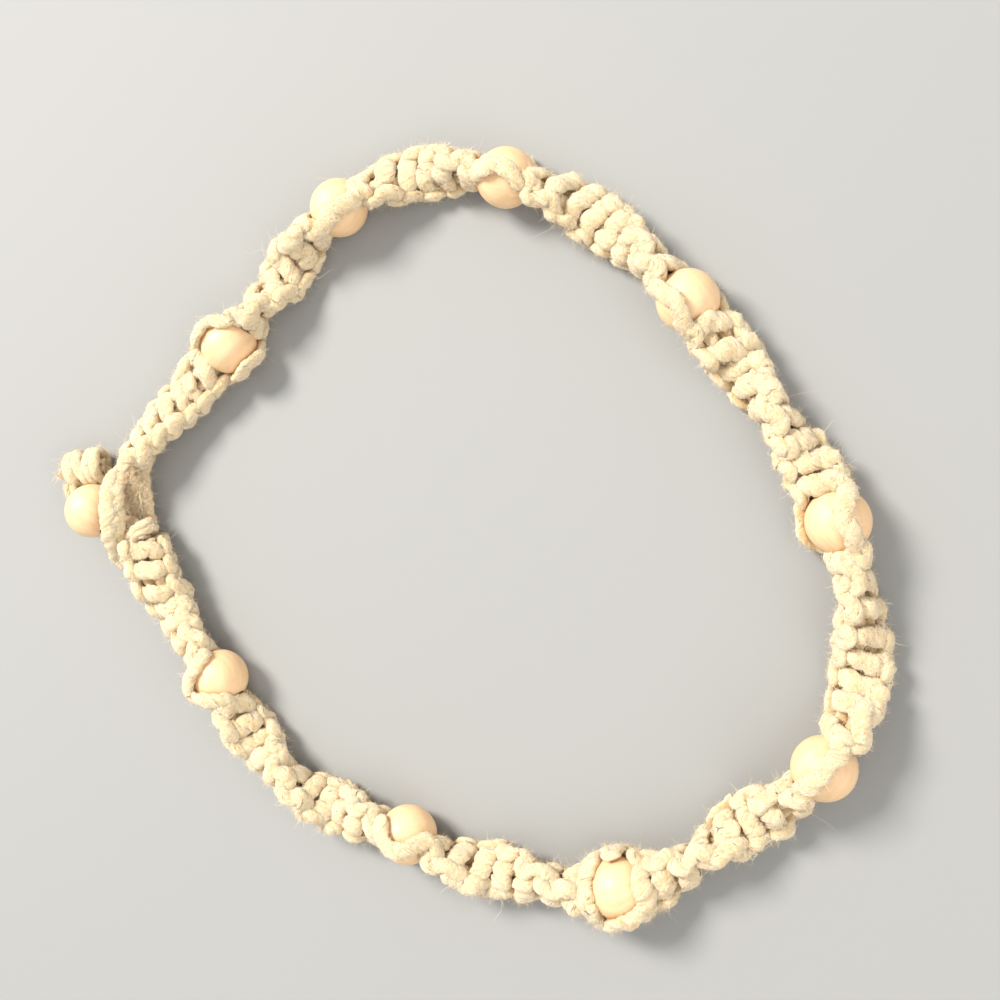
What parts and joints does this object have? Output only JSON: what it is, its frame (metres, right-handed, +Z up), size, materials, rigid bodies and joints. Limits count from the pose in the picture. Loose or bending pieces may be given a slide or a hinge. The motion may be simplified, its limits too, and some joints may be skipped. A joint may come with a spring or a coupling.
{
  "type": "hemp bead necklace",
  "caption": "Choker of spirally half-knotted hemp cord strung with drilled round wooden beads, closed by a cord loop over a toggle bead.",
  "frame": {"origin": "middle of the necklace's bounding box seen from above, on the surface it lies on", "axes": "+Z up off the surface; -X towards the clasp; +Y towards the beads numbered one and two"},
  "size_m": [0.1512, 0.1298, 0.0134],
  "materials": {
    "hemp": "undyed twisted hemp cord",
    "wood": "smooth pale wood, satin"
  },
  "bodies": {
    "root": {"bead_1": "wood", "bead_2": "wood", "bead_3": "wood", "bead_4": "wood", "bead_5": "wood", "bead_6": "wood", "bead_7": "wood", "bead_8": "wood", "bead_9": "wood", "toggle_bead": "wood", "knots_1": "hemp", "knots_2": "hemp", "knots_3": "hemp", "knots_4": "hemp", "knots_5": "hemp", "knots_6": "hemp", "knots_7": "hemp", "knots_8": "hemp", "knots_9": "hemp", "knots_10": "hemp", "clasp_loop": "hemp", "toggle_cord": "hemp"}
  },
  "joints": []
}
